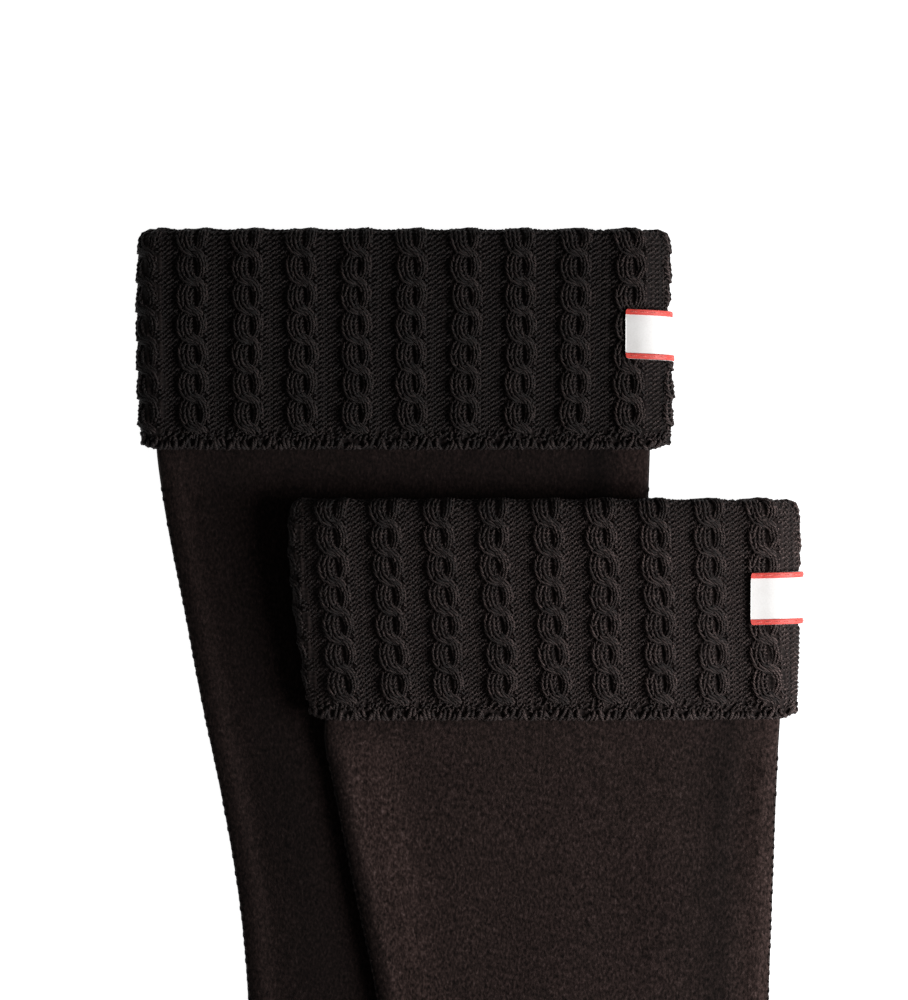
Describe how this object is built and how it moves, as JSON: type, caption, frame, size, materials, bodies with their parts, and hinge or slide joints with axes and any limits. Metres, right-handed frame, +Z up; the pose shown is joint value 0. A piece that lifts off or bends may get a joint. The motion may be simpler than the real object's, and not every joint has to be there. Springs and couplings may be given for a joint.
{
  "type": "boot socks",
  "caption": "Tall fleece boot socks with turned-down cable-knit cuffs, laid flat one over the other, each with a rubber label on the side of its cuff.",
  "frame": {"origin": "centre of the pair's bounding box in plan, on the surface that it lies on", "axes": "+Z up from the surface, +Y towards the folds of the cuffs, +X towards the shins and toes"},
  "size_m": [0.331, 0.513, 0.0223],
  "materials": {
    "fleece_a": "matte",
    "fleece_b": "matte",
    "knit_a": "matte",
    "knit_b": "matte",
    "label": "satin"
  },
  "bodies": {
    "root": {"sock_a_upper_panel": "fleece_a", "sock_a_under_panel": "fleece_a", "sock_a_cuff": "knit_a", "sock_a_label": "label", "sock_b_upper_panel": "fleece_b", "sock_b_under_panel": "fleece_b", "sock_b_cuff": "knit_b", "sock_b_label": "label"}
  },
  "joints": []
}
